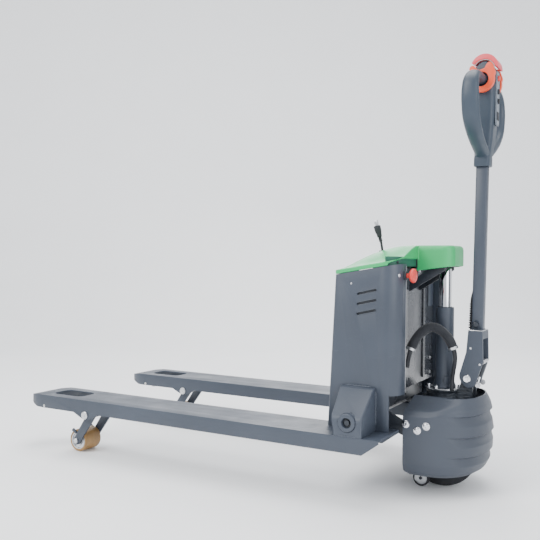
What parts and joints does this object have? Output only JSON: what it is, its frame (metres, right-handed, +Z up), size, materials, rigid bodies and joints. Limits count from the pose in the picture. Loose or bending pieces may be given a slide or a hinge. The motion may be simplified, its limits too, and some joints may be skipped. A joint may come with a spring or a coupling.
{
  "type": "pallet jack",
  "caption": "Walk-behind electric pallet jack: two tapered forks with linked load wheels, battery body with hood, steered drive wheel in a rounded cover, and an upright tiller with loop grips.",
  "frame": {"origin": "on the floor, under the middle of the truck's bounding box", "axes": "+Z up, -X towards the fork tips, +X towards the operator, +Y to the truck's left seen from the operator's place"},
  "size_m": [1.509, 0.6936, 1.2288],
  "materials": {
    "frame_paint": "satin",
    "black_steel": "satin",
    "hood_green": "satin",
    "cover_plastic": "matte",
    "chrome_steel": "polished",
    "bright_steel": "brushed",
    "roller_tan": "satin",
    "black_rubber": "matte",
    "signal_red": "gloss",
    "throttle_orange": "satin",
    "panel_grey": "matte",
    "cell_blue": "matte",
    "pale_nylon": "satin"
  },
  "bodies": {
    "chassis": {"chassis_frame": "black_steel", "drive_cover": "cover_plastic", "harness_body_half": "black_rubber", "harness_head_half": "black_rubber"},
    "fork_frame": {"fork_left": "frame_paint", "fork_right": "frame_paint", "battery_box": "frame_paint", "rear_panel": "frame_paint", "gusset_left": "frame_paint", "gusset_right": "frame_paint", "shaft_boss_left": "black_steel", "shaft_boss_right": "black_steel", "hood": "hood_green", "lift_bracket": "black_steel", "piston_rod": "chrome_steel", "battery": "cell_blue", "charger": "black_steel", "controller": "bright_steel", "estop_collar": "black_steel", "cord_gland": "black_rubber", "cord_inner": "black_rubber", "cord_coil": "black_rubber", "cord_outer": "black_rubber", "charger_plug": "black_rubber", "bracket_pin_left": "bright_steel", "bracket_pin_right": "bright_steel"},
    "rocker": {"rocker": "black_steel"},
    "push_rod_left": {"push_rod_left": "black_steel"},
    "push_rod_right": {"push_rod_right": "black_steel"},
    "wheel_bracket_left": {"wheel_bracket_left": "black_steel", "roller_axle_left": "bright_steel"},
    "wheel_bracket_right": {"wheel_bracket_right": "black_steel", "roller_axle_right": "bright_steel"},
    "load_roller_left": {"load_roller_left": "roller_tan"},
    "load_roller_right": {"load_roller_right": "roller_tan"},
    "entry_roller_left": {"entry_roller_left": "pale_nylon"},
    "entry_roller_right": {"entry_roller_right": "pale_nylon"},
    "estop_button": {"estop_button": "signal_red"},
    "drive_head": {"steering_casting": "black_steel", "lift_cylinder": "frame_paint", "drive_fork": "black_steel"},
    "drive_wheel": {"hub_motor": "bright_steel", "drive_tyre": "black_rubber"},
    "balance_roller_left": {"balance_roller_left": "black_rubber"},
    "balance_roller_right": {"balance_roller_right": "black_rubber"},
    "tiller": {"tiller_base": "frame_paint", "tiller_pin": "bright_steel", "tiller_tube": "frame_paint", "control_head": "cover_plastic", "control_panel": "panel_grey"},
    "throttle": {"throttle_left": "throttle_orange", "throttle_right": "throttle_orange"},
    "belly_button": {"belly_button": "signal_red"},
    "horn_button": {"horn_button": "signal_red"},
    "lift_button": {"lift_button": "black_rubber"},
    "lower_button": {"lower_button": "black_rubber"}
  },
  "joints": [
    {"name": "lift", "type": "slide", "parent": "chassis", "child": "fork_frame", "axis": [0, 0, 1], "range_m": [-0.11, 0], "deforming": ["harness_body_half"]},
    {"name": "rocker_turn", "type": "hinge", "parent": "fork_frame", "child": "rocker", "pos_m": [0.4475, 0, 0.222], "axis": [0, 1, 0], "range_deg": [-46, 0]},
    {"name": "push_rod_slide_left", "type": "slide", "parent": "fork_frame", "child": "push_rod_left", "axis": [1, 0, 0], "range_m": [0, 0.03]},
    {"name": "bracket_turn_left", "type": "hinge", "parent": "fork_frame", "child": "wheel_bracket_left", "pos_m": [-0.4795, 0.265, 0.136], "axis": [0, 1, 0], "range_deg": [0, 60]},
    {"name": "load_roller_spin_left", "type": "hinge", "parent": "wheel_bracket_left", "child": "load_roller_left", "pos_m": [-0.5495, 0.265, 0.037], "axis": [0, 1, 0], "continuous": true},
    {"name": "entry_roller_spin_left", "type": "hinge", "parent": "fork_frame", "child": "entry_roller_left", "pos_m": [-0.6665, 0.265, 0.1475], "axis": [0, 1, 0], "continuous": true},
    {"name": "push_rod_slide_right", "type": "slide", "parent": "fork_frame", "child": "push_rod_right", "axis": [1, 0, 0], "range_m": [0, 0.03]},
    {"name": "bracket_turn_right", "type": "hinge", "parent": "fork_frame", "child": "wheel_bracket_right", "pos_m": [-0.4795, -0.265, 0.136], "axis": [0, 1, 0], "range_deg": [0, 60]},
    {"name": "load_roller_spin_right", "type": "hinge", "parent": "wheel_bracket_right", "child": "load_roller_right", "pos_m": [-0.5495, -0.265, 0.037], "axis": [0, 1, 0], "continuous": true},
    {"name": "entry_roller_spin_right", "type": "hinge", "parent": "fork_frame", "child": "entry_roller_right", "pos_m": [-0.6665, -0.265, 0.1475], "axis": [0, 1, 0], "continuous": true},
    {"name": "estop_press", "type": "slide", "parent": "fork_frame", "child": "estop_button", "axis": [1, 0, 0], "range_m": [-0.004, 0]},
    {"name": "steering", "type": "hinge", "parent": "chassis", "child": "drive_head", "pos_m": [0.6055, 0, 0.24], "axis": [0, 0, 1], "range_deg": [-90, 90], "deforming": ["harness_head_half"]},
    {"name": "drive_wheel_spin", "type": "hinge", "parent": "drive_head", "child": "drive_wheel", "pos_m": [0.6055, 0, 0.105], "axis": [0, 1, 0], "continuous": true},
    {"name": "balance_roller_spin_left", "type": "hinge", "parent": "drive_head", "child": "balance_roller_left", "pos_m": [0.5585, 0.055, 0.024], "axis": [0, 1, 0], "continuous": true},
    {"name": "balance_roller_spin_right", "type": "hinge", "parent": "drive_head", "child": "balance_roller_right", "pos_m": [0.5585, -0.055, 0.024], "axis": [0, 1, 0], "continuous": true},
    {"name": "tiller_tilt", "type": "hinge", "parent": "drive_head", "child": "tiller", "pos_m": [0.6805, 0, 0.317], "axis": [0, 1, 0], "range_deg": [0, 80], "stiffness_Nm_per_rad": 20, "springref_deg": -45.84},
    {"name": "throttle_turn", "type": "hinge", "parent": "tiller", "child": "throttle", "pos_m": [0.714, 0, 1.1535], "axis": [0, 1, 0], "range_deg": [-25, 25], "stiffness_Nm_per_rad": 0.5},
    {"name": "belly_press", "type": "slide", "parent": "tiller", "child": "belly_button", "axis": [0, 0, 1], "range_m": [-0.004, 0], "stiffness_N_per_m": 800, "springref_m": 0.002},
    {"name": "horn_press", "type": "slide", "parent": "tiller", "child": "horn_button", "axis": [1, 0, 0], "range_m": [-0.002, 0], "stiffness_N_per_m": 400, "springref_m": 0.001},
    {"name": "lift_button_press", "type": "slide", "parent": "tiller", "child": "lift_button", "axis": [1, 0, 0], "range_m": [-0.002, 0], "stiffness_N_per_m": 400, "springref_m": 0.001},
    {"name": "lower_button_press", "type": "slide", "parent": "tiller", "child": "lower_button", "axis": [1, 0, 0], "range_m": [-0.002, 0], "stiffness_N_per_m": 400, "springref_m": 0.001}
  ],
  "couplings": [
    {"joint": "rocker_turn", "follows": "lift", "rad_per_m": 7.286},
    {"joint": "push_rod_slide_left", "follows": "lift", "ratio": -0.2695},
    {"joint": "bracket_turn_left", "follows": "lift", "rad_per_m": -9.504},
    {"joint": "push_rod_slide_right", "follows": "lift", "ratio": -0.2695},
    {"joint": "bracket_turn_right", "follows": "lift", "rad_per_m": -9.504}
  ]
}
